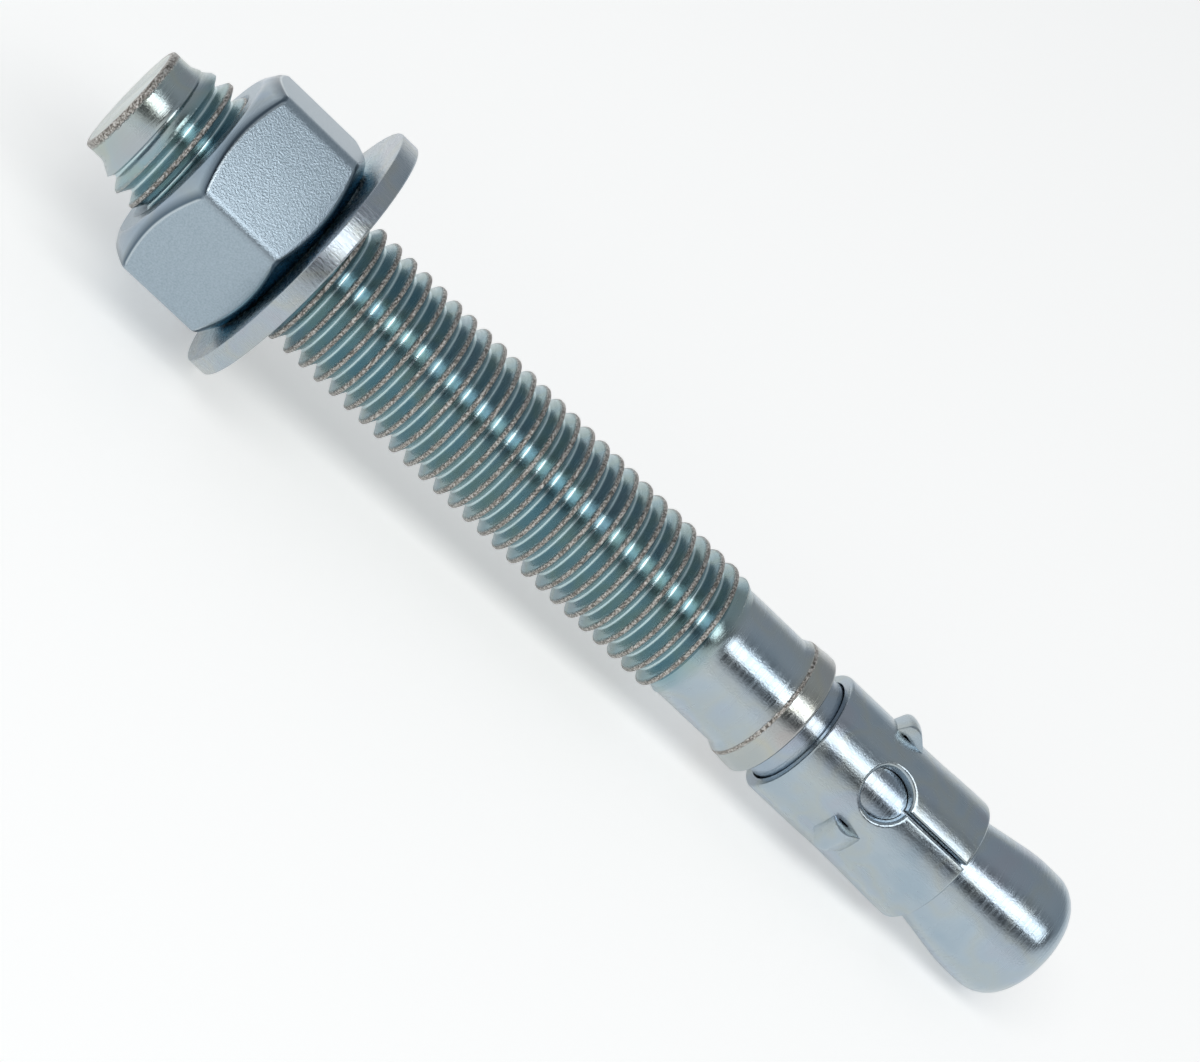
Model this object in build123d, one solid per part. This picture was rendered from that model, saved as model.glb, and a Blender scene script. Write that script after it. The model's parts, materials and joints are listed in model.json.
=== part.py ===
from build123d import *
from math import asin, atan2, cos, degrees, hypot, radians, sin, tan
import os

# Wedge anchor for a drilled hole in concrete, zinc-plated steel, in millimetres.
# Four pieces: the stud with its hammer stub, thread, collar, neck and expansion cone, the
# sheet-metal expansion clip round the neck, the flat washer and the hex nut.
# The 3/4 in. thread, ten to the inch, is drawn plain at its crests, and the nut's bore clears it.
# Each piece is modelled upright on the +Z axis. A station is a height along the stud from
# its hammer end, and a turn is in degrees about +Z from the front of the anchor, which is +X.
# At the end the whole anchor is laid on its side, as it rests on a bench.

# Stud, from the hammer end to the tip
stub_radius = 7.6
stub_length = 3.45
stub_chamfer = 0.4
lead_in_length = 4.8
thread_radius = 9.45
full_thread_length = 86.5
run_out_length = 3.0
shank_radius = 8.68
shank_length = 9.45
collar_edge_radius = 9.3
collar_step_length = 1.25
collar_radius = 9.5
collar_taper_length = 2.4
collar_land_length = 1.25
collar_chamfer = 0.5
neck_radius = 7.75
cone_angle = 9.4
bulb_radius = 9.44
bulb_land_length = 3.9
bulb_rounding = 4.4

# Expansion clip
clip_gap = 2.8
clip_length = 25.5
clip_overlap = 0.4
clip_clearance = 0.2
clip_wall = 1.45
clip_flare = 0.3
clip_flare_length = 3.3
clip_edge_chamfer = 0.4
clip_repeats = 3
keyhole_turn = -11.9
keyhole_from_end = 14.1
keyhole_radius = 3.5
slot_width = 0.75
seam_width = 1.6

# Grips: humps lanced out of the clip's sheet, steep towards the collar
grip_turn = -79.0
grip_span = 24.6
grip_from_mouth = 8.3
grip_height = 2.1
grip_rise_length = 1.05
grip_top_length = 1.5
grip_top_fall = 0.3
grip_fall_length = 2.2
grip_sheet = 1.0
grip_inner_rounding = 0.2
grip_top_rounding = 1.6
grip_slit_span = 0.9

# Washer
washer_radius = 18.7
washer_hole_radius = 10.4
washer_thickness = 2.7
washer_chamfer = 0.3
washer_gap = 0.15
washer_turn = 53.18
nut_seat_gap = 0.1

# Nut
nut_start = 10.0
nut_height = 16.2
nut_across_flats = 28.3
nut_chamfer_angle = 33.0
nut_face_radius = 12.6
nut_corner_turn = 8.5
nut_clearance = 0.15
nut_countersink = 0.4

# How the anchor lies: its front looks sideways and this much up
front_elevation = 33.33

# How far a cutting shape reaches past what it cuts
bite = 0.1

# Stations along the stud
lead_in_end = stub_length + lead_in_length
thread_end = lead_in_end + full_thread_length
run_out_end = thread_end + run_out_length
collar_start = run_out_end + shank_length
collar_edge = collar_start + collar_step_length
collar_end = collar_edge + collar_taper_length + collar_land_length
clip_start = collar_end + clip_gap
clip_end = clip_start + clip_length
flare_start = clip_end - clip_flare_length
cone_start = clip_end - clip_overlap
cone_end = cone_start + (bulb_radius - neck_radius) / tan(radians(cone_angle))
bulb_land_end = cone_end + bulb_land_length
stud_length = bulb_land_end + bulb_rounding
washer_start = nut_start + nut_height + nut_seat_gap
washer_end = washer_start + washer_thickness

# Clip radii
clip_bore_radius = neck_radius + clip_clearance
clip_radius = clip_bore_radius + clip_wall

# The washer hangs on the thread, off the axis towards the side that will face up
up_turn = front_elevation - 90
washer_drop = washer_hole_radius - thread_radius - washer_gap


def turned(points, roundings):
    """Solid of revolution about +Z from (radius, station) points, each with its rounding."""
    outline = FilletPolyline(*points, radius=roundings, close=True)
    return revolve(make_face(Plane.XZ * outline), Axis.Z)


def anchor_stud():
    """The whole turned and rolled length, from the hammer end to the rounded tip."""
    outline = [
        (0, 0),
        (stub_radius - stub_chamfer, 0),
        (stub_radius, stub_chamfer),
        (stub_radius, stub_length),
        (thread_radius, lead_in_end),
        (thread_radius, thread_end),
        (shank_radius, run_out_end),
        (shank_radius, collar_start),
        (collar_edge_radius, collar_edge),
        (collar_radius, collar_edge + collar_taper_length),
        (collar_radius, collar_end - collar_chamfer),
        (collar_radius - collar_chamfer, collar_end),
        (neck_radius, collar_end),
        (neck_radius, cone_start),
        (bulb_radius, cone_end),
        (bulb_radius, stud_length),
        (0, stud_length),
    ]
    roundings = [bulb_rounding if point == (bulb_radius, stud_length) else 0 for point in outline]
    return turned(outline, roundings)


def clip_sleeve():
    """Rolled sheet round the neck, opened a little at the end that the cone will spread."""
    outline = [
        (clip_bore_radius, clip_start),
        (clip_radius - clip_edge_chamfer, clip_start),
        (clip_radius, clip_start + clip_edge_chamfer),
        (clip_radius, flare_start),
        (clip_radius + clip_flare, clip_end - clip_edge_chamfer),
        (clip_radius + clip_flare - clip_edge_chamfer, clip_end),
        (clip_bore_radius + clip_flare, clip_end),
        (clip_bore_radius, flare_start),
    ]
    return turned(outline, [0] * len(outline))


def grip_outline(base_radius):
    """Side view of a grip as (radius, station), with its two flanks run down to a radius."""
    start = clip_start + grip_from_mouth
    crest = start + grip_rise_length
    shoulder = crest + grip_top_length
    depth = clip_radius - base_radius
    shoulder_height = grip_height - grip_top_fall
    points = [
        (base_radius, start - depth * grip_rise_length / grip_height),
        (clip_radius + grip_height, crest),
        (clip_radius + shoulder_height, shoulder),
        (base_radius, shoulder + grip_fall_length * (1 + depth / shoulder_height)),
    ]
    crest_rounding = grip_inner_rounding + grip_sheet
    roundings = [0, crest_rounding, grip_top_rounding, 0]
    return make_face(Plane.XZ * FilletPolyline(*points, radius=roundings, close=True))


def grip_hump():
    """Outside of one grip, sheared off square at both of its sides."""
    outline = grip_outline(clip_radius - clip_wall / 2)
    return Rot(0, 0, -grip_span / 2) * revolve(outline, Axis.Z, grip_span)


def grip_hollow():
    """What the sheet leaves open under a grip, down into the clip's bore."""
    span = grip_span + 2 * grip_slit_span
    outline = offset(grip_outline(clip_bore_radius - 2 * grip_sheet), -grip_sheet)
    return Rot(0, 0, -span / 2) * revolve(outline, Axis.Z, span)


def keyhole():
    """Round hole through the front of the sheet, and the slot from it to the clip's end."""
    reach = clip_radius + grip_height
    hole = Pos(reach / 2, 0, 0) * Cylinder(keyhole_radius, reach, rotation=(0, 90, 0))
    slot = Pos(reach / 2, 0, clip_length / 2) * Box(reach, slot_width, clip_length)
    return Pos(0, 0, clip_end - keyhole_from_end) * (hole + slot)


def clip_seam():
    """Gap between the two ends of the rolled sheet."""
    reach = clip_radius + grip_height
    gap = Box(reach, seam_width, clip_length + 2 * bite)
    return Pos(reach / 2, 0, (clip_start + clip_end) / 2) * gap


def expansion_clip():
    """Sleeve with a grip before each third of its turn, and keyholes at all but the seam."""
    spacing = 360 / clip_repeats
    turns = [spacing * i for i in range(clip_repeats)]
    clip = clip_sleeve() + [Rot(0, 0, grip_turn + turn) * grip_hump() for turn in turns]
    clip -= [Rot(0, 0, grip_turn + turn) * grip_hollow() for turn in turns]
    clip -= [Rot(0, 0, keyhole_turn + turn) * keyhole() for turn in turns[:-1]]
    return clip - Rot(0, 0, keyhole_turn + turns[-1]) * clip_seam()


def flat_washer():
    """Ring stamped from sheet, hanging on the thread, with its eased edge away from the nut."""
    outline = [
        (washer_hole_radius, washer_start),
        (washer_radius, washer_start),
        (washer_radius, washer_end - washer_chamfer),
        (washer_radius - washer_chamfer, washer_end),
        (washer_hole_radius, washer_end),
    ]
    ring = Rot(0, 0, washer_turn) * turned(outline, [0] * len(outline))
    return Rot(0, 0, up_turn) * Pos(washer_drop, 0, 0) * ring


def hex_nut():
    """Hexagon chamfered at both faces, with a bore that is countersunk at both ends."""
    bore_radius = thread_radius + nut_clearance
    mouth_radius = bore_radius + nut_countersink
    corner_radius = nut_across_flats / 2 / cos(radians(30)) + bite
    chamfer = (corner_radius - nut_face_radius) * tan(radians(nut_chamfer_angle))
    outline = [
        (mouth_radius, 0),
        (nut_face_radius, 0),
        (corner_radius, chamfer),
        (corner_radius, nut_height - chamfer),
        (nut_face_radius, nut_height),
        (mouth_radius, nut_height),
        (bore_radius, nut_height - nut_countersink),
        (bore_radius, nut_countersink),
    ]
    hexagon = RegularPolygon(nut_across_flats / 2, 6, major_radius=False)
    prism = extrude(Rot(0, 0, nut_corner_turn) * hexagon, nut_height)
    return Pos(0, 0, nut_start) * (turned(outline, [0] * len(outline)) & prism)


def resting_tilt():
    """Degrees by which the tip lies lower, with the washer's rim and the bulb on the floor."""
    run = bulb_land_end - (washer_end - washer_chamfer)
    rise = (bulb_radius - bulb_rounding) - (washer_radius - washer_drop)
    return degrees(asin(-bulb_rounding / hypot(run, rise)) - atan2(rise, run))


def laid_down(pieces):
    """The pieces on their side, tip towards +X, above the middle of their box on the floor."""
    front = radians(180 - front_elevation)
    lying = Plane(origin=(0, 0, 0), x_dir=(0, cos(front), sin(front)), z_dir=(1, 0, 0))
    side = Rot(0, resting_tilt(), 0) * lying.location
    box = Compound([side * piece for piece in pieces.values()]).bounding_box()
    place = Pos(-box.center().X, -box.center().Y, -box.min.Z) * side
    return {name: place * piece for name, piece in pieces.items()}


pieces = {
    "anchor_stud": anchor_stud(),
    "expansion_clip": expansion_clip(),
    "flat_washer": flat_washer(),
    "hex_nut": hex_nut(),
}

os.makedirs("parts", exist_ok=True)
for name, piece in laid_down(pieces).items():
    export_step(piece, f"parts/{name}.step")
    print(name, round(piece.volume, 1), "mm3")
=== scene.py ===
import json
from collections import Counter
from math import cos, pi, radians, sin, tan

import bpy
from mathutils import Matrix, Vector


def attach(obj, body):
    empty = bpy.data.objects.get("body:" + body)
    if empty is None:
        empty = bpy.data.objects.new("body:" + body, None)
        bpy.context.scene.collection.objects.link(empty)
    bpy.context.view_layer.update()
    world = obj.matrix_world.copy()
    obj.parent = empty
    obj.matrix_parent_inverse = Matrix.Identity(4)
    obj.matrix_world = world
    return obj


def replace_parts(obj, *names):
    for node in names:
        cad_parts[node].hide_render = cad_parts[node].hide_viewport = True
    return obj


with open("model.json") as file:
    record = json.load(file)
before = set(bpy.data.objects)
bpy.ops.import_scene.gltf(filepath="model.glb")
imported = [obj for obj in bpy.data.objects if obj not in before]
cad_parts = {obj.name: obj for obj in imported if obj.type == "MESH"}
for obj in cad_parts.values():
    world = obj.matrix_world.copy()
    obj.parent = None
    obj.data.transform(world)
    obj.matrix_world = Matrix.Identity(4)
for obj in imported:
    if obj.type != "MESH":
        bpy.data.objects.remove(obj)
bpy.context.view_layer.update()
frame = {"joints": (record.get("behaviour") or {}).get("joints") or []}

# Wedge anchor: stud, expansion clip, washer and nut in zinc-plated steel.
# Each piece is modelled lying along X from the hammer end, with its front towards +Y,
# in millimetres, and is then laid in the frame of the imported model.

mm = 0.001
samePlace = 0.001    # mm within which two places count as one
cutReach = 0.0001    # mm within which a cut takes a point that is there already
cutTries = 8


def clearSelection():
    for thing in list(bpy.context.selected_objects):
        thing.select_set(False)


def onlyThis(piece):
    clearSelection()
    piece.select_set(True)
    bpy.context.view_layer.objects.active = piece


def editMode(kind="VERT"):
    bpy.ops.object.mode_set(mode="EDIT")
    bpy.ops.mesh.select_mode(type=kind)


def objectMode():
    bpy.ops.object.mode_set(mode="OBJECT")


def pickVerts(piece, test):
    # selects, in edit mode, the points whose place in mm passes the test
    bpy.ops.mesh.select_mode(type="VERT")
    bpy.ops.mesh.select_all(action="DESELECT")
    objectMode()
    for vert in piece.data.vertices:
        vert.select = test(vert.co / mm)
    bpy.ops.object.mode_set(mode="EDIT")


def pickEdges(piece, test):
    # selects, in edit mode, the edges whose two ends in mm pass the test
    bpy.ops.mesh.select_mode(type="EDGE")
    bpy.ops.mesh.select_all(action="DESELECT")
    objectMode()
    spots = [vert.co / mm for vert in piece.data.vertices]
    for edge in piece.data.edges:
        first, second = edge.vertices
        edge.select = test(spots[first], spots[second])
    bpy.ops.object.mode_set(mode="EDIT")


def extrudeBy(step):
    bpy.ops.mesh.extrude_region_move(TRANSFORM_OT_translate={"value": Vector(step) * mm})


def pointChain(name, points):
    # a plane merged to one point, which is then extruded from place to place
    clearSelection()
    bpy.ops.mesh.primitive_plane_add(size=mm)
    piece = bpy.context.active_object
    piece.name = name
    editMode()
    bpy.ops.mesh.select_all(action="SELECT")
    bpy.ops.mesh.merge(type="CENTER")
    bpy.ops.transform.translate(value=Vector(points[0]) * mm)
    for here, there in zip(points[:-1], points[1:]):
        extrudeBy(Vector(there) - Vector(here))
    objectMode()
    return piece


def roundedOutline(corners, segments=6):
    # (x, radius, rounding) corners to outline points, with an arc where there is a rounding
    points = []
    for i, (x, r, rounding) in enumerate(corners):
        here = Vector((x, r, 0))
        if not rounding:
            points.append(here)
            continue
        before = Vector((*corners[i - 1][:2], 0)) - here
        after = Vector((*corners[(i + 1) % len(corners)][:2], 0)) - here
        halfAngle = before.angle(after) / 2
        middle = here + (before.normalized() + after.normalized()).normalized() * rounding / sin(halfAngle)
        start = here + before.normalized() * rounding / tan(halfAngle) - middle
        end = here + after.normalized() * rounding / tan(halfAngle) - middle
        turn = start.angle(end) * (1 if start.cross(end).z > 0 else -1)
        for step in range(segments + 1):
            points.append(middle + Matrix.Rotation(turn * step / segments, 3, "Z") @ start)
    return points


def mergeDoubles(piece, reach=samePlace):
    # points within reach mm become one, and faces turn outwards
    onlyThis(piece)
    editMode()
    bpy.ops.mesh.select_all(action="SELECT")
    bpy.ops.mesh.remove_doubles(threshold=reach * mm)
    bpy.ops.mesh.normals_make_consistent(inside=False)
    objectMode()


def cutOff(piece, station, keepAbove):
    # drops what lies below or above a station
    onlyThis(piece)
    editMode()
    bpy.ops.mesh.select_all(action="SELECT")
    bpy.ops.mesh.bisect(
        plane_co=(station * mm, 0, 0), plane_no=(1, 0, 0),
        clear_inner=keepAbove, clear_outer=not keepAbove, threshold=cutReach * mm,
    )
    objectMode()


def prism(name, outline, step):
    # a closed outline filled with a face and run out along a step in mm
    piece = pointChain(name, list(outline) + [outline[0]])
    mergeDoubles(piece)
    editMode()
    bpy.ops.mesh.select_all(action="SELECT")
    bpy.ops.mesh.edge_face_add()
    extrudeBy(step)
    bpy.ops.mesh.select_all(action="SELECT")
    bpy.ops.mesh.normals_make_consistent(inside=False)
    objectMode()
    return piece


def turnAndMove(piece, turn=(0, 0, 0), move=(0, 0, 0)):
    # turn in degrees, then move in mm, both put in the mesh
    onlyThis(piece)
    piece.rotation_euler = [radians(angle) for angle in turn]
    piece.location = Vector(move) * mm
    bpy.ops.object.transform_apply(location=True, rotation=True, scale=True)


def spunSolid(name, corners, steps=128, segments=6, closed=False):
    # an outline turned about X; closed runs it back to its first corner, for a shape with a hole
    points = roundedOutline(corners, segments)
    if closed:
        points.append(points[0])
    piece = pointChain(name, points)
    onlyThis(piece)
    editMode()
    bpy.ops.mesh.select_all(action="SELECT")
    bpy.ops.mesh.spin(steps=steps, angle=2 * pi, center=(0, 0, 0), axis=(1, 0, 0))
    objectMode()
    mergeDoubles(piece)
    return piece


def applyModifier(piece, kind, **settings):
    onlyThis(piece)
    modifier = piece.modifiers.new(kind.lower(), kind)
    for key, value in settings.items():
        setattr(modifier, key, value)
    bpy.ops.object.modifier_apply(modifier=modifier.name)


def isClosed(piece):
    # whether each edge has two faces
    sides = Counter(key for face in piece.data.polygons for key in face.edge_keys)
    return all(count == 2 for count in sides.values())


def cutWith(piece, cutter, operation="DIFFERENCE"):
    # the solver now and then leaves a mesh torn, and then it is given another try
    before = piece.data.copy()
    for _ in range(cutTries):
        applyModifier(piece, "BOOLEAN", operation=operation, object=cutter, solver="EXACT")
        if len(piece.data.polygons) and isClosed(piece):
            break
        print("another try at", cutter.name)
        piece.data = before.copy()
    else:
        print("fault:", piece.name, "is left uncut by", cutter.name)
    bpy.data.objects.remove(cutter)


def helicalSheet(name, chain, pitch, turns, steps=96):
    # one pitch of outline run round X as a right-hand screw
    piece = pointChain(name, chain)
    applyModifier(
        piece, "SCREW", axis="X", angle=2 * pi, steps=steps, render_steps=steps,
        screw_offset=pitch * mm, iterations=turns, use_merge_vertices=True,
        merge_threshold=samePlace / 2 * mm,
    )
    mergeDoubles(piece)
    return piece


joints = {joint["name"]: joint for joint in frame["joints"]}
lay = {"nutMiddle": 18.1, "frontElevation": 33.33}    # station of the nut's middle, front above level
axis = Vector(joints["nut_turn"]["axis"])
upright = Vector((-axis.z, 0, axis.x))
front = Vector((0, -cos(radians(lay["frontElevation"])), 0)) + upright * sin(radians(lay["frontElevation"]))
side = axis.cross(front)
hammerEnd = Vector(joints["nut_turn"]["pos_m"]) - axis * lay["nutMiddle"] * mm
anchorPlace = Matrix.Translation(hammerEnd) @ Matrix((axis, front, side)).transposed().to_4x4()


def layDown(piece):
    # finished piece goes from its own upright into the frame, and its place into its mesh
    onlyThis(piece)
    piece.matrix_world = anchorPlace @ piece.matrix_world
    bpy.ops.object.transform_apply(location=True, rotation=True, scale=True)


stud = {
    "pitch": 2.54, "crest": 9.45, "crestFlat": 0.42, "crestRounding": 0.12,
    "flank": 30.0, "rootRounding": 0.3, "firstGroove": 1.915, "grooves": 41, "runOut": 2, "cageSteps": 256,
    "stub": 7.6, "stubEdge": 0.45, "seamAtStub": 2.04, "seamAtShank": 98.64,
    "shank": 8.68, "shankEnd": 107.2, "shankRounding": 0.5,
    "collarEdge": 9.3, "collarEdgeAt": 108.45, "collarEdgeRounding": 0.25,
    "collar": 9.5, "collarAt": 110.85, "collarEnd": 112.1, "collarRounding": 0.5,
    "neck": 7.75, "neckBlend": 3.0, "coneStart": 140.0, "coneAngle": 9.4,
    "bulb": 9.44, "coneBlend": 20.0, "bulbRounding": 4.4, "length": 158.5,
    # crests grow from the stub and fade at the shank, roots rise at the shank: (station, radius)
    "crests": [
        (-6, 7.6), (2.5, 7.6), (3.45, 7.85), (4.45, 8.65), (5.55, 8.97), (6.65, 9.37), (8.25, 9.46),
        (50, 9.46), (95.05, 9.46), (96.05, 9.3), (97.15, 8.9), (97.95, 8.68), (106, 8.68),
    ],
    "roots": [(-6, 7.6), (93.05, 7.6), (94.65, 8.0), (96.05, 8.5), (97.95, 8.68), (106, 8.68)],
}


def threadChain(size):
    # from the middle of one groove to the next, at the front
    halfGroove = (size["pitch"] - size["crestFlat"]) / 2
    depth = halfGroove / tan(radians(size["flank"]))
    root = size["crest"] - depth
    start = size["firstGroove"] - size["runOut"] * size["pitch"]
    corners = [
        (start - halfGroove, size["crest"], 0),
        (start, root, size["rootRounding"]),
        (start + halfGroove, size["crest"], size["crestRounding"]),
        (start + halfGroove + size["crestFlat"], size["crest"], size["crestRounding"]),
        (start + size["pitch"], root, size["rootRounding"]),
        (start + size["pitch"] + halfGroove, size["crest"], 0),
    ]
    points = roundedOutline(corners, segments=4)
    return [p for p in points if start - samePlace <= p.x <= start + size["pitch"] + samePlace]


def ringCage(name, points, steps):
    # a closed turned shape that the thread's points are kept inside or outside
    first, last = points[0][0], points[-1][0]
    return spunSolid(name, [(first, 0, 0)] + [(x, r, 0) for x, r in points] + [(last, 0, 0)], steps=steps)


def makeStud(size):
    piece = helicalSheet("anchorStud", threadChain(size), size["pitch"], size["grooves"])
    for cageName, points, way in (
        ("crestCage", size["crests"], "INSIDE"),
        ("rootCage", size["roots"], "OUTSIDE"),
    ):
        cage = ringCage(cageName, points, size["cageSteps"])
        applyModifier(piece, "SHRINKWRAP", target=cage, wrap_method="NEAREST_SURFACEPOINT", wrap_mode=way)
        bpy.data.objects.remove(cage)
    cutOff(piece, size["seamAtStub"], True)
    cutOff(piece, size["seamAtShank"], False)
    coneEnd = size["coneStart"] + (size["bulb"] - size["neck"]) / tan(radians(size["coneAngle"]))
    tail = [
        (size["seamAtShank"], size["shank"], 0),
        (size["shankEnd"], size["shank"], size["shankRounding"]),
        (size["collarEdgeAt"], size["collarEdge"], size["collarEdgeRounding"]),
        (size["collarAt"], size["collar"], 0),
        (size["collarEnd"], size["collar"], size["collarRounding"]),
        (size["collarEnd"], size["neck"], 0),
        (size["coneStart"], size["neck"], size["neckBlend"]),
        (coneEnd, size["bulb"], size["coneBlend"]),
        (size["length"], size["bulb"], size["bulbRounding"]),
        (size["length"], 0, 0),
    ]
    stub = [
        (size["seamAtStub"], size["stub"], 0),
        (0, size["stub"], size["stubEdge"]),
        (0, 0, 0),
    ]
    for outline in (tail, stub):
        extrudeRings(piece, roundedOutline(outline, 8))
    mergeDoubles(piece, 2 * samePlace)
    return piece


def extrudeRings(piece, points):
    # runs the open ring at the first point out along the others, and closes it on the axis
    station = points[0].x
    onlyThis(piece)
    editMode()
    pickVerts(piece, lambda spot: abs(spot.x - station) < samePlace)
    for here, there in zip(points[:-1], points[1:]):
        extrudeBy((there.x - here.x, 0, 0))
        shrink = there.y / here.y
        if shrink < samePlace:
            bpy.ops.mesh.merge(type="CENTER")
            break
        bpy.ops.transform.resize(value=(1, shrink, shrink), center_override=(there.x * mm, 0, 0))
    objectMode()


studPiece = makeStud(stud)
print("stud: thread, shank, collar, neck and cone", len(studPiece.data.polygons), "faces")


# the stud lies in the bottom of its hole, so its middle is above the anchor's axis by the drop, at the turn
washer = {
    "start": 26.3, "thickness": 2.7, "radius": 18.66, "hole": 10.4, "drop": 0.8, "turn": -55.0,
    "edge": 0.35, "sheared": 0.2,
}


def makeWasher(size):
    end = size["start"] + size["thickness"]
    piece = spunSolid("flatWasher", [
        (size["start"], size["radius"], size["sheared"]),
        (end, size["radius"], size["edge"]),
        (end, size["hole"], size["edge"]),
        (size["start"], size["hole"], size["sheared"]),
    ], steps=160, segments=4, closed=True)
    onlyThis(piece)
    editMode()
    bpy.ops.mesh.select_all(action="SELECT")
    turn = radians(size["turn"])
    bpy.ops.transform.translate(value=(0, size["drop"] * cos(turn) * mm, size["drop"] * sin(turn) * mm))
    objectMode()
    return piece


washerPiece = makeWasher(washer)
print("washer", len(washerPiece.data.polygons), "faces")


nut = {
    "start": 10.0, "height": 16.2, "acrossFlats": 28.3, "cornerTurn": 8.5, "cornerRounding": 1.8,
    "faceRadius": 12.6, "chamfer": 33.0, "edge": 0.5, "sharp": 17.0,
    "mouth": 10.0, "mouthDepth": 1.7, "bore": 8.3, "boreRounding": 0.06,
    "root": 9.6, "rootRounding": 0.12, "flankGap": 0.2,
    "overrun": 0.3, "tapTurns": 9, "tapOverrun": 0.5,    # how far the cutters run past the nut
}


def nutThreadChain(size, partner):
    # the stud's groove, kept off its flanks, from the middle of one groove of the stud to the next
    slope = 1 / tan(radians(partner["flank"]))
    halfGroove = (partner["pitch"] - partner["crestFlat"]) / 2
    halfCrest = halfGroove - (partner["crest"] + size["flankGap"] - size["bore"]) / slope
    pitch = partner["pitch"]
    halfRoot = pitch / 2 - halfGroove + (partner["crest"] + size["flankGap"] - size["root"]) / slope
    start = partner["firstGroove"] + pitch
    corners = [
        (start - halfCrest, size["bore"], 0),
        (start + halfCrest, size["bore"], size["boreRounding"]),
        (start + pitch / 2 - halfRoot, size["root"], size["rootRounding"]),
        (start + pitch / 2 + halfRoot, size["root"], size["rootRounding"]),
        (start + pitch - halfCrest, size["bore"], size["boreRounding"]),
        (start + pitch, size["bore"], 0),
    ]
    points = roundedOutline(corners, segments=3)
    return [Vector((start, size["bore"], 0))] + points[1:]


def makeNutBody(size):
    middle = size["start"] + size["height"] / 2
    corner = size["acrossFlats"] / 2 / cos(pi / 6)
    clearSelection()
    bpy.ops.mesh.primitive_cylinder_add(
        vertices=6, radius=corner * mm, depth=size["height"] * mm,
        location=(middle * mm, 0, 0), rotation=(0, pi / 2, 0),
    )
    piece = bpy.context.active_object
    piece.name = "hexNut"
    bpy.ops.object.transform_apply(location=True, rotation=True, scale=True)
    # its first corner points to the front, and is turned from there
    editMode("EDGE")
    bpy.ops.mesh.select_all(action="SELECT")
    bpy.ops.transform.rotate(
        value=-radians(size["cornerTurn"]), orient_axis="X", center_override=(middle * mm, 0, 0),
    )
    pickEdges(piece, lambda a, b: abs(a.x - b.x) > 1)
    bpy.ops.mesh.bevel(offset=size["cornerRounding"] * tan(radians(30)) * mm, segments=5, affect="EDGES")
    objectMode()
    top = size["start"] + size["height"]
    wide = corner + 1
    drop = (wide - size["faceRadius"]) * tan(radians(size["chamfer"]))
    hull = spunSolid("nutHull", [
        (size["start"], 0, 0), (size["start"], size["faceRadius"], 0), (size["start"] + drop, wide, 0),
        (top - drop, wide, 0), (top, size["faceRadius"], 0), (top, 0, 0),
    ], steps=144)
    cutWith(piece, hull, "INTERSECT")
    applyModifier(piece, "BEVEL", width=size["edge"] * mm, segments=4, limit_method="ANGLE",
                  angle_limit=radians(size["sharp"]), use_clamp_overlap=False, miter_outer="MITER_ARC")
    return piece


def makeNut(size, partner):
    piece = makeNutBody(size)
    top = size["start"] + size["height"]
    past = size["overrun"]
    drill, wide, depth = size["bore"] - past, size["mouth"] + past, size["mouthDepth"] + past
    cutWith(piece, spunSolid("countersinks", [
        (size["start"] - past, 0, 0), (size["start"] - past, wide, 0),
        (size["start"] + depth, drill, 0), (top - depth, drill, 0),
        (top + past, wide, 0), (top + past, 0, 0),
    ], steps=96))
    tap = helicalSheet("nutTap", nutThreadChain(size, partner), partner["pitch"], size["tapTurns"])
    tapStart, tapEnd = size["start"] - size["tapOverrun"], top + size["tapOverrun"]
    cutOff(tap, tapStart, True)
    cutOff(tap, tapEnd, False)
    for station in (tapStart, tapEnd):
        onlyThis(tap)
        editMode()
        pickEdges(tap, lambda a, b: abs(a.x - station) < samePlace and abs(b.x - station) < samePlace)
        bpy.ops.mesh.edge_face_add()
        objectMode()
    mergeDoubles(tap)
    cutWith(piece, tap)
    mergeDoubles(piece)
    return piece


nutPiece = makeNut(nut, stud)
print("nut", len(nutPiece.data.polygons), "faces")


# the clip is made flat, x along the anchor, y through the sheet and z along it, and then rolled
clip = {
    "start": 114.9, "end": 140.4, "sheetRadius": 8.675, "wall": 1.45, "flare": 0.3, "flareLength": 11.0,
    "mouthRounding": 0.5, "endRounding": 0.5, "inner": 0.15, "rollSteps": 120,
    "keyholeAt": 126.3, "keyhole": 3.5, "keyholeRim": 0.6, "slot": 0.6, "slotRim": 0.26,
    "keyholeTurns": (-11.9, 108.1), "seamTurn": 228.1, "seam": 1.6,
    "gripTurns": (-79.0, 41.0, 161.0), "gripSpan": 24.6, "gripFoot": 123.2, "gripHeight": 2.1,
    "gripRise": 1.05, "gripTop": 1.5, "gripFall": 2.2, "gripTopFall": 0.3, "gripRoundings": (1.2, 1.8),
    "gripSheet": 1.85, "gripWeb": 0.6, "gripSlit": 0.14, "gripEdge": 0.2, "gripSink": 0.7,
    "hollowRise": 0.8, "hollowFall": 1.4, "hollowStep": 0.1, "hollowRoundings": (0.3, 0.8),
    # cutters run this far past the sheet, down and up, and their ledges lie just over it and past the rim
    "cutDown": 3.0, "cutUp": 4.0, "ledge": 0.004, "slotLedge": 0.003, "ledgeWidth": 0.02, "slotMore": 0.1,
}


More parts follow.
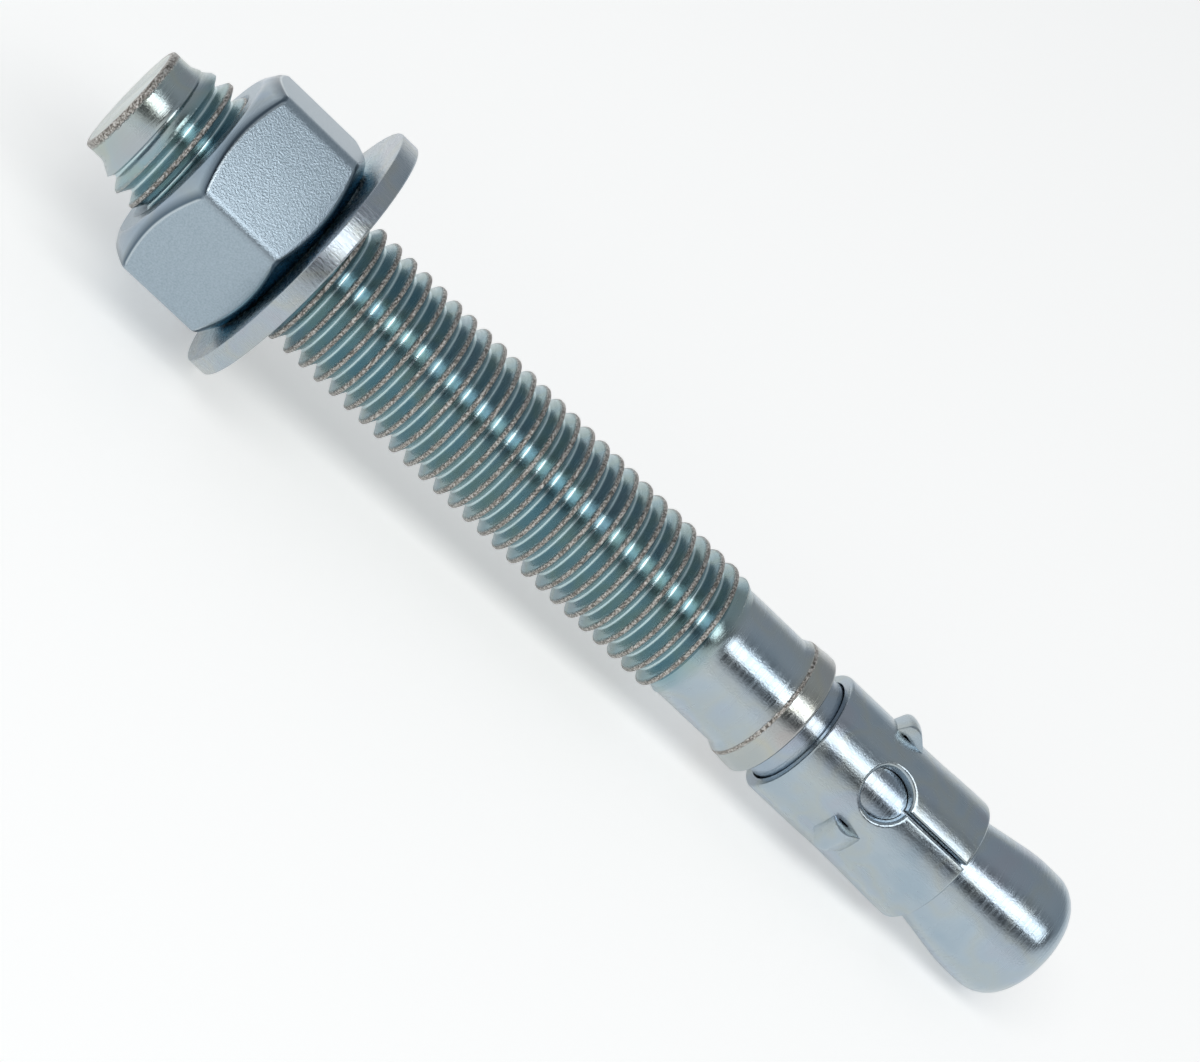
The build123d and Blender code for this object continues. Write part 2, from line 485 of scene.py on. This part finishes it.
def gripOutline(size):
    # side view (x, y) of a grip, with its flanks run down into the sheet
    sink = size["gripSink"]
    upper = size["wall"] / 2
    crest = size["gripFoot"] + size["gripRise"]
    shoulder = crest + size["gripTop"]
    drop = size["gripHeight"] - size["gripTopFall"]
    crestRounding, shoulderRounding = size["gripRoundings"]
    return [
        (size["gripFoot"] - sink * size["gripRise"] / size["gripHeight"], upper - sink, 0),
        (crest, upper + size["gripHeight"], crestRounding),
        (shoulder, upper + drop, shoulderRounding),
        (shoulder + size["gripFall"] * (1 + sink / drop), upper - sink, 0),
    ]


def hollowOutline(size):
    # what the sheet leaves open under a grip, down through the sheet
    upper, low = size["wall"] / 2, -size["cutDown"]
    foot = size["gripFoot"] + size["gripWeb"]
    crest = foot + size["gripRise"] * size["hollowRise"]
    shoulder = size["gripFoot"] + size["gripRise"] + size["gripTop"]
    end = shoulder + size["gripFall"] - size["gripWeb"] * size["hollowFall"]
    height = size["gripHeight"] - size["gripSheet"]
    crestRounding, shoulderRounding = size["hollowRoundings"]
    return [
        (foot, low, 0), (foot, upper - size["hollowStep"], 0), (crest, upper + height, crestRounding),
        (shoulder, upper + height - size["gripTopFall"], shoulderRounding),
        (end, upper - size["hollowStep"], 0), (end, low, 0),
    ]


def bisectAt(places, normal):
    # adds edges across the whole piece being edited, at each place along the normal
    for place in places:
        bpy.ops.mesh.select_all(action="SELECT")
        bpy.ops.mesh.bisect(plane_co=Vector(normal) * place * mm, plane_no=normal, threshold=cutReach * mm)


def cutKeyhole(piece, size, place):
    # round hole, then the slot from it to the end, both with rounded rims
    down, up = size["cutDown"], size["cutUp"]
    above = size["wall"] / 2 + size["ledge"]
    wide = size["keyhole"] + size["keyholeRim"] + size["ledgeWidth"]
    hole = spunSolid("keyhole", [
        (-down, 0, 0), (-down, size["keyhole"], 0), (above, size["keyhole"], size["keyholeRim"]),
        (above, wide, 0), (up, wide, 0), (up, 0, 0),
    ], steps=64)
    turnAndMove(hole, turn=(0, 0, 90), move=(size["keyholeAt"], 0, place))
    cutWith(piece, hole)
    # the slot's cutter has no face in one plane with the hole's
    down, up = down + size["slotMore"], up + size["slotMore"]
    half, rim, above = size["slot"] / 2, size["slotRim"], above + size["slotLedge"]
    wide = half + rim + size["ledgeWidth"]
    slot = prism("slot", [
        (p.z, p.x, p.y) for p in roundedOutline([
            (-down, -half, 0), (above, -half, rim), (above, -wide, 0), (up, -wide, 0),
            (up, wide, 0), (above, wide, 0), (above, half, rim), (-down, half, 0),
        ], 4)
    ], (size["end"] - size["keyholeAt"] + 1, 0, 0))
    turnAndMove(slot, move=(size["keyholeAt"], 0, place))
    cutWith(piece, slot)


def makeClip(size):
    around = 2 * pi * size["sheetRadius"]
    stretch = around - size["seam"]
    perDegree = around / 360
    middleTurn = size["seamTurn"] - 180
    top, bottom = size["wall"] / 2, -size["wall"] / 2
    section = roundedOutline([
        (size["start"], bottom, size["inner"]), (size["end"], bottom, size["inner"]),
        (size["end"], top, size["endRounding"]), (size["start"], top, size["mouthRounding"]),
    ], segments=5)
    piece = prism("expansionClip", section, (0, 0, stretch))
    turnAndMove(piece, move=(0, 0, -stretch / 2))
    for turn in size["gripTurns"]:
        place = (turn - middleTurn) * perDegree
        span = size["gripSpan"] * perDegree
        hump = prism("hump", roundedOutline(gripOutline(size), 6), (0, 0, span))
        turnAndMove(hump, move=(0, 0, place - span / 2))
        applyModifier(hump, "BEVEL", width=size["gripEdge"] * mm, segments=2,
                      limit_method="ANGLE", angle_limit=radians(50))
        cutWith(piece, hump, "UNION")
        span += 2 * size["gripSlit"]
        hollow = prism("hollow", roundedOutline(hollowOutline(size), 5), (0, 0, span))
        turnAndMove(hollow, move=(0, 0, place - span / 2))
        cutWith(piece, hollow)
    for turn in size["keyholeTurns"]:
        cutKeyhole(piece, size, (turn - middleTurn) * perDegree)
    # cut up small enough to be rolled, and its tip end opens a little
    onlyThis(piece)
    editMode()
    bpy.ops.mesh.select_all(action="SELECT")
    bpy.ops.mesh.quads_convert_to_tris()
    rolls = size["rollSteps"]
    bisectAt([size["end"] - size["flareLength"] + i for i in range(int(size["flareLength"]))], (1, 0, 0))
    bisectAt([stretch * (i / rolls - 0.5) for i in range(1, rolls)], (0, 0, 1))
    pickVerts(piece, lambda spot: spot.x > size["end"] - size["endRounding"] - 0.01)
    bpy.ops.transform.translate(
        value=(0, size["flare"] * mm, 0), use_proportional_edit=True,
        proportional_edit_falloff="SMOOTH", proportional_size=size["flareLength"] * mm,
    )
    objectMode()
    applyModifier(piece, "SIMPLE_DEFORM", deform_method="BEND", deform_axis="X",
                  angle=-stretch / size["sheetRadius"])
    turnAndMove(piece, move=(0, size["sheetRadius"], 0))
    turnAndMove(piece, turn=(middleTurn, 0, 0))
    mergeDoubles(piece)
    return piece


clipPiece = makeClip(clip)
print("clip: rolled sheet, keyholes, slots and grips", len(clipPiece.data.polygons), "faces")


smoothUnder = 32.0    # degrees between two faces
for piece in (studPiece, washerPiece, nutPiece, clipPiece):
    onlyThis(piece)
    bpy.ops.object.shade_smooth_by_angle(angle=radians(smoothUnder))
    layDown(piece)

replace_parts(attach(studPiece, "stud"), "anchor_stud")
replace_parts(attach(washerPiece, "washer"), "flat_washer")
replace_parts(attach(nutPiece, "nut"), "hex_nut")
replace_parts(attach(clipPiece, "clip"), "expansion_clip")


def linear(hexColour):
    # sRGB hex such as "8fa0ad" to the linear numbers that a shader takes
    parts = [int(hexColour[i:i + 2], 16) / 255 for i in (0, 2, 4)]
    return tuple(c / 12.92 if c <= 0.04045 else ((c + 0.055) / 1.055) ** 2.4 for c in parts) + (1.0,)


def firstOutput(node):
    # the first output that the node has under its settings
    return next(socket for socket in node.outputs if socket.enabled)


def addNode(tree, kind, inputs=(), **settings):
    # one node with its settings; its inputs are listed in order or named, each a value, an output or a node
    node = tree.nodes.new(kind)
    for key, value in settings.items():
        setattr(node, key, value)
    for key, value in inputs.items() if isinstance(inputs, dict) else enumerate(inputs):
        if isinstance(value, bpy.types.Node):
            value = firstOutput(value)
        if isinstance(value, bpy.types.NodeSocket):
            tree.links.new(value, node.inputs[key])
        else:
            node.inputs[key].default_value = value
    return node


def setRamp(node, stops, interpolation="LINEAR"):
    # stops are (place, hex colour)
    ramp = node.color_ramp
    ramp.interpolation = interpolation
    while len(ramp.elements) < len(stops):
        ramp.elements.new(0.5)
    for element, (place, colour) in zip(ramp.elements, stops):
        element.position = place
        element.color = linear(colour)


# Bright zinc electroplate with a blue chromate film, over rolled, stamped or forged steel:
# a soft metallic shine that is grainy close up, with slight blue, green and pink tints.
# Sizes and stations are in mm. Real plating has a much finer grain, which is drawn as coarse as it needs
# to show. filmTints are the film's colours, thin to thick.
noiseSpread = (0.35, 0.65)    # between these lies most of a noise
filmTints = [(0.32, "8fa9ba"), (0.44, "a9b9c2"), (0.52, "b3b9b0"), (0.60, "a4b3c1"), (0.70, "abaab6")]
studZinc = {
    "name": "zincPlatedRolledSteel", "tintSize": 9.0, "tintShare": 0.35,
    "grainSize": 0.28, "grainHeight": 0.018,
    "streakSize": (4.0, 0.15, 0.15), "streakHeight": 0.024, "roughness": (0.16, 0.28),
    "zones": [
        (0.0, "b5bfb6"), (4.5, "aebabd"), (5.5, "86a6ab"), (96.0, "86a6ab"), (98.0, "b0bcc5"),
        (107.5, "b0bcc5"), (108.5, "b9b9b2"), (112.0, "b9b9b2"), (112.6, "a6b2c0"), (139.0, "a6b2c0"),
        (142.0, "adbbc6"), (158.5, "adbbc6"),
    ],
    # rolled thread: rough brown-grey laps along its crests, and the same scale on the cut edges
    "crest": {"from": 9.10, "to": 9.38, "ragged": 0.5, "start": 4.6, "end": 97.5,
              "roughness": 0.28, "lumps": 0.18,
              "colours": [(0.38, "625e59"), (0.50, "96918b"), (0.62, "d6d4d0")]},
    "edges": [(0.1, 0.8, 6.9), (108.5, 0.26, 0.0)],    # station, half width, least radius
    # painted highlight: root is a pale line along the thread's root, where the root rounding catches the
    # light
    "root": {"from": 7.98, "to": 8.06, "colour": "bfd4d8"},
}
clipZinc = {
    "name": "zincPlatedStampedSheet", "tintSize": 7.0, "tintShare": 0.4,
    "grainSize": 0.26, "grainHeight": 0.02,
    "streakSize": (0.4, 2.5, 2.5), "streakHeight": 0.003, "roughness": (0.18, 0.28),
    "zones": [(0.0, "adb9c2"), (158.5, "adb9c2")],
}
washerZinc = {
    "name": "zincPlatedStampedPlate", "tintSize": 8.0, "tintShare": 0.4,
    "grainSize": 0.32, "grainHeight": 0.024,
    "streakSize": (0.4, 3.2, 3.2), "streakHeight": 0.018, "roughness": (0.20, 0.34),
    "zones": [(0.0, "b1b8be"), (158.5, "b1b8be")],
    # painted shade and reflection: a darker teal round the hole, in the corner that the nut shades, for the
    # nut's bluish reflection in it
    "ring": {"from": 13.0, "to": 16.5, "colour": "7fa9b8"},
}
nutZinc = {
    "name": "zincPlatedForgedSteel", "tintSize": 10.0, "tintShare": 0.25,
    "grainSize": 0.24, "grainHeight": 0.012,
    "streakSize": (0.5, 0.5, 0.5), "streakHeight": 0.01, "roughness": (0.15, 0.24),
    # painted reflection and shade: from 25.6 mm the washer-side chamfer is a saturated teal, for the washer's
    # bluish reflection in the shaded gap
    "zones": [
        (0.0, "9fa8b8"), (10.9, "93a3b2"), (11.6, "a2b0b9"), (24.6, "a2b0b9"), (25.6, "6fb4d0"),
        (158.5, "6fb4d0"),
    ],
    # the flats are matt and grainy up to a painted highlight along their edge, and past it the corner
    # roundings carry painted shade in a darker colour; spans are in mm, inwards from the chamfer for the
    # margin, and down from the flat for the rest
    "pad": {
        "margin": (0.2, 0.45), "roughness": 0.31, "lumps": 0.036,
        "colours": [(0.35, "9aaab5"), (0.65, "aab9c4")],
        # painted shade: film is the darker colour of the corner roundings, for a dark reflection there
        "film": "5c6c79", "paintedShadeBegins": (0.05, 0.16), "paintedShadeEnds": (1.3, 0.2),
        # painted highlight: rim is the pale colour along the flats' edge
        "rim": "cdd7dc", "paintedHighlightEnds": (0.12, 0.04),
    },
}


def zincPlate(look):
    material = bpy.data.materials.new(look["name"])
    material.use_nodes = True
    tree = material.node_tree
    shader = tree.nodes["Principled BSDF"]
    shader.inputs["Metallic"].default_value = 1.0
    # the piece's own millimetres: x from the hammer end, y to the front, z to the side
    toAnchor = anchorPlace.inverted()
    spot = addNode(tree, "ShaderNodeMapping", {
        "Vector": addNode(tree, "ShaderNodeTexCoord").outputs["Object"],
        "Location": toAnchor.translation / mm, "Rotation": toAnchor.to_euler(),
        "Scale": (1 / mm, 1 / mm, 1 / mm),
    })
    parts = addNode(tree, "ShaderNodeSeparateXYZ", [spot]).outputs
    station = parts["X"]
    across = addNode(tree, "ShaderNodeVectorMath", [spot, (0.0, 1.0, 1.0)], operation="MULTIPLY")
    radius = addNode(tree, "ShaderNodeVectorMath", [across], operation="LENGTH")

    along = addNode(tree, "ShaderNodeMapRange", [station, 0.0, stud["length"]])
    zones = addNode(tree, "ShaderNodeValToRGB", [along])
    setRamp(zones, [(place / stud["length"], colour) for place, colour in look["zones"]])
    film = addNode(tree, "ShaderNodeTexNoise", {
        "Vector": spot, "Scale": 1 / look["tintSize"], "Detail": 2.0, "Roughness": 0.5,
    })
    tints = addNode(tree, "ShaderNodeValToRGB", [film])
    setRamp(tints, filmTints)
    colour = addNode(tree, "ShaderNodeMix", {
        "Factor": look["tintShare"], "A": zones, "B": tints,
    }, data_type="RGBA")

    # grain of the plating, and the streaks that the steel was left with
    grain = addNode(tree, "ShaderNodeTexNoise", {
        "Vector": spot, "Scale": 1 / look["grainSize"], "Detail": 3.0, "Roughness": 0.6,
    })
    streakSpot = addNode(tree, "ShaderNodeMapping", {"Vector": spot, "Scale": look["streakSize"]})
    streak = addNode(tree, "ShaderNodeTexNoise", {
        "Vector": streakSpot, "Scale": 1.0, "Detail": 3.0, "Roughness": 0.6,
    })
    smooth, dull = look["roughness"]
    blur = addNode(tree, "ShaderNodeMapRange", [streak, *noiseSpread, smooth, dull])

    rough, share = None, None
    # painted shade and reflection of the nut, on the washer's face towards the nut, near the hole
    if "ring" in look:
        ring = look["ring"]
        faceEnd = washer["start"] + washer["sheared"]
        nutSide = addNode(tree, "ShaderNodeMath", [station, faceEnd], operation="LESS_THAN")
        inner = addNode(tree, "ShaderNodeMapRange", [radius, ring["to"], ring["from"]])
        shaded = addNode(tree, "ShaderNodeMath", [inner, nutSide], operation="MULTIPLY")
        colour = addNode(tree, "ShaderNodeMix", {
            "Factor": shaded, "A": colour, "B": linear(ring["colour"]),
        }, data_type="RGBA")
    if "crest" in look:
        rough, root = look["crest"], look["root"]
        past = addNode(tree, "ShaderNodeMath", [station, rough["start"]], operation="GREATER_THAN")
        short = addNode(tree, "ShaderNodeMath", [station, rough["end"]], operation="LESS_THAN")
        threaded = addNode(tree, "ShaderNodeMath", [past, short], operation="MULTIPLY")
        # painted highlight: the root's pale colour, where the radius comes down to the thread's root
        paintedRootHighlight = addNode(tree, "ShaderNodeMapRange", [radius, root["to"], root["from"]])
        low = addNode(tree, "ShaderNodeMath", [paintedRootHighlight, threaded], operation="MULTIPLY")
        colour = addNode(tree, "ShaderNodeMix", {
            "Factor": low, "A": colour, "B": linear(root["colour"]),
        }, data_type="RGBA")
        # the grain moves the laps' edge in and out; half of its reach is taken off again
        ragged = addNode(tree, "ShaderNodeMath", [grain, rough["ragged"], radius], operation="MULTIPLY_ADD")
        middle = rough["ragged"] / 2
        high = addNode(tree, "ShaderNodeMapRange", [ragged, rough["from"] + middle, rough["to"] + middle])
        share = addNode(tree, "ShaderNodeMath", [high, threaded], operation="MULTIPLY")
        # a scaly band on an edge, about its half width to each side, with a border torn by the grain
        for place, half, least in look["edges"]:
            offset = addNode(tree, "ShaderNodeMath", [station, place], operation="SUBTRACT")
            away = addNode(tree, "ShaderNodeMath", [offset], operation="ABSOLUTE")
            torn = addNode(tree, "ShaderNodeMath", [grain, -1.2 * half, away], operation="MULTIPLY_ADD")
            close = addNode(tree, "ShaderNodeMapRange", [torn, half * 0.5, half * 0.2])
            outer = addNode(tree, "ShaderNodeMath", [radius, least], operation="GREATER_THAN")
            worn = addNode(tree, "ShaderNodeMath", [close, outer], operation="MULTIPLY")
            share = addNode(tree, "ShaderNodeMath", [share, worn], operation="MAXIMUM")
    if "pad" in look:
        rough = look["pad"]
        # how far in from the nearer chamfer a point on a flat is
        slope = tan(radians(nut["chamfer"]))
        height = addNode(tree, "ShaderNodeMath", [
            radius, -slope, nut["faceRadius"] * slope,
        ], operation="MULTIPLY_ADD")
        near = addNode(tree, "ShaderNodeMath", [station, nut["start"]], operation="SUBTRACT")
        far = addNode(tree, "ShaderNodeMath", [nut["start"] + nut["height"], station], operation="SUBTRACT")
        nearer = addNode(tree, "ShaderNodeMath", [near, far], operation="MINIMUM")
        inward = addNode(tree, "ShaderNodeMath", [nearer, height], operation="ADD")
        share = addNode(tree, "ShaderNodeMapRange", [inward, *rough["margin"]])
        # how far a point lies below the flat that it is nearest to
        turn = addNode(tree, "ShaderNodeMath", [parts["Z"], parts["Y"]], operation="ARCTAN2")
        fromCorner = addNode(tree, "ShaderNodeMath", [turn, radians(nut["cornerTurn"])], operation="SUBTRACT")
        folded = addNode(tree, "ShaderNodeMath", [fromCorner, pi / 6], operation="PINGPONG")
        fromFlat = addNode(tree, "ShaderNodeMath", [pi / 6, folded], operation="SUBTRACT")
        facing = addNode(tree, "ShaderNodeMath", [fromFlat], operation="COSINE")
        reach = addNode(tree, "ShaderNodeMath", [radius, facing], operation="MULTIPLY")
        depth = addNode(tree, "ShaderNodeMath", [nut["acrossFlats"] / 2, reach], operation="SUBTRACT")
        # painted shade: the corner roundings just below the flats take the darker film colour, fading out
        # further down
        below = addNode(tree, "ShaderNodeMapRange", [depth, *rough["paintedShadeBegins"]])
        fading = addNode(tree, "ShaderNodeMapRange", [depth, *rough["paintedShadeEnds"]])
        dark = addNode(tree, "ShaderNodeMath", [below, fading], operation="MULTIPLY")
        colour = addNode(tree, "ShaderNodeMix", {
            "Factor": dark, "A": colour, "B": linear(rough["film"]),
        }, data_type="RGBA")
        # painted highlight: the pale rim colour on the flats, left showing near the chamfers where the grainy
        # pad stops
        level = addNode(tree, "ShaderNodeMapRange", [depth, *rough["paintedHighlightEnds"]])
        colour = addNode(tree, "ShaderNodeMix", {
            "Factor": level, "A": colour, "B": linear(rough["rim"]),
        }, data_type="RGBA")
    streaks = addNode(tree, "ShaderNodeBump", {
        "Height": streak, "Strength": 1.0, "Distance": look["streakHeight"] * mm,
    })
    finish = addNode(tree, "ShaderNodeBump", {
        "Height": grain, "Strength": 1.0, "Distance": look["grainHeight"] * mm, "Normal": streaks,
    })
    if rough:
        scale = addNode(tree, "ShaderNodeValToRGB", [grain])
        setRamp(scale, rough["colours"])
        colour = addNode(tree, "ShaderNodeMix", {"Factor": share, "A": colour, "B": scale}, data_type="RGBA")
        blur = addNode(tree, "ShaderNodeMix", {"Factor": share, "A": blur, "B": rough["roughness"]})
        lumps = addNode(tree, "ShaderNodeMath", [grain, share], operation="MULTIPLY")
        finish = addNode(tree, "ShaderNodeBump", {
            "Height": lumps, "Strength": 1.0, "Distance": rough["lumps"] * mm, "Normal": finish,
        })
    for key, node in (("Base Color", colour), ("Roughness", blur), ("Normal", finish)):
        tree.links.new(firstOutput(node), shader.inputs[key])
    return material


for piece, look, slot in (
    (studPiece, studZinc, "stud_zinc"), (clipPiece, clipZinc, "clip_zinc"),
    (washerPiece, washerZinc, "washer_zinc"), (nutPiece, nutZinc, "nut_zinc"),
):
    piece.data.materials.clear()
    piece.data.materials.append(zincPlate(look))
print("zinc finishes")


floorLook = {"size": 6.0, "colour": "f3f3f1", "roughness": 0.9, "sheen": 0.1, "glow": 0.36}


def addFloor(look):
    clearSelection()
    bpy.ops.mesh.primitive_plane_add(size=look["size"])
    floor = bpy.context.active_object
    floor.name = "floor"
    material = bpy.data.materials.new("paleFloor")
    material.use_nodes = True
    tree = material.node_tree
    shader = tree.nodes["Principled BSDF"]
    shader.inputs["Base Color"].default_value = linear(look["colour"])
    shader.inputs["Roughness"].default_value = look["roughness"]
    shader.inputs["Specular IOR Level"].default_value = look["sheen"]
    # glows to the eye and in reflections alone, so that it adds no diffuse light
    rays = addNode(tree, "ShaderNodeLightPath").outputs
    seen = rays["Is Camera Ray"]
    for kind in ("Is Glossy Ray", "Is Transmission Ray"):
        seen = addNode(tree, "ShaderNodeMath", [seen, rays[kind]], operation="MAXIMUM")
    glow = addNode(tree, "ShaderNodeMath", [seen, look["glow"]], operation="MULTIPLY")
    tree.links.new(firstOutput(glow), shader.inputs["Emission Strength"])
    shader.inputs["Emission Color"].default_value = linear("ffffff")
    floor.data.materials.append(material)


addFloor(floorLook)

studio = {
    "front": [
        (0.0, "f4f4f3"), (0.30, "f0f0f0"), (0.42, "b4b5b7"), (0.50, "34373b"),
        (0.67, "303338"), (0.82, "5e6266"), (1.0, "6a6e72"),
    ],
    "back": [(0.0, "f4f4f3"), (0.12, "e2e3e4"), (0.34, "a0a4a8"), (1.0, "a6aaae")],
    "turnsOver": (-0.25, 0.15),    # from front to back, as the heading's y goes from one to the other
}
world = bpy.data.worlds.new("room")
bpy.context.scene.world = world
world.use_nodes = True
# a plain studio: pale near the floor, then dark before the grey ceiling on the camera's side,
# and even grey behind; places are sines of the elevation
tree = world.node_tree
heading = addNode(tree, "ShaderNodeTexCoord").outputs["Generated"]
parts = addNode(tree, "ShaderNodeSeparateXYZ", [heading]).outputs
sides = []
for stops in (studio["front"], studio["back"]):
    ramp = addNode(tree, "ShaderNodeValToRGB", [parts["Z"]])
    setRamp(ramp, stops)
    sides.append(ramp)
behind = addNode(tree, "ShaderNodeMapRange", [parts["Y"], *studio["turnsOver"]])
sweep = addNode(tree, "ShaderNodeMix", {"Factor": behind, "A": sides[0], "B": sides[1]}, data_type="RGBA")
tree.links.new(firstOutput(sweep), tree.nodes["Background"].inputs["Color"])


keyBox = {"elevation": 61.0, "azimuth": -90.0, "distance": 1.5, "width": 2.6, "height": 0.58, "strength": 2.8}


def softBox(name, size):
    # an area lamp that looks at the anchor from an elevation and azimuth in degrees
    data = bpy.data.lights.new(name, "AREA")
    data.shape = "RECTANGLE"
    data.size = size["width"]
    data.size_y = size["height"]
    data.energy = size["strength"] * size["width"] * size["height"] * pi
    lamp = bpy.data.objects.new(name, data)
    bpy.context.scene.collection.objects.link(lamp)
    around, up = radians(size["azimuth"]), radians(size["elevation"])
    away = Vector((cos(around) * cos(up), sin(around) * cos(up), sin(up)))
    lamp.location = away * size["distance"]
    lamp.rotation_euler = away.to_track_quat("Z", "Y").to_euler()
    lamp.visible_camera = False


softBox("keyBox", keyBox)

# tilt towards the tip and roll are in degrees; hammerEnd is where that end of the anchor lies from the
# camera, in mm along the anchor, to its side and forward
camera = {"focal": 111.18, "tilt": 14.75, "roll": 43.45, "hammerEnd": (-75.69, 1.04, 438.54)}


def addCamera(size):
    data = bpy.data.cameras.new("camera")
    data.sensor_width = 36.0
    data.lens = size["focal"]
    data.clip_start = 0.01
    thing = bpy.data.objects.new("camera", data)
    bpy.context.scene.collection.objects.link(thing)
    tilt, roll = radians(size["tilt"]), radians(size["roll"])
    along = axis * cos(tilt) + front * sin(tilt)
    forward = axis * sin(tilt) - front * cos(tilt)
    right = along * cos(roll) - side * sin(roll)
    down = along * sin(roll) + side * cos(roll)
    x, y, z = (part * mm for part in size["hammerEnd"])
    place = hammerEnd - along * x - side * y - forward * z
    thing.matrix_world = Matrix.Translation(place) @ Matrix((right, -down, -forward)).transposed().to_4x4()
    bpy.context.scene.camera = thing


addCamera(camera)
bpy.context.scene.view_settings.view_transform = "Standard"
print("floor, lamps and camera")
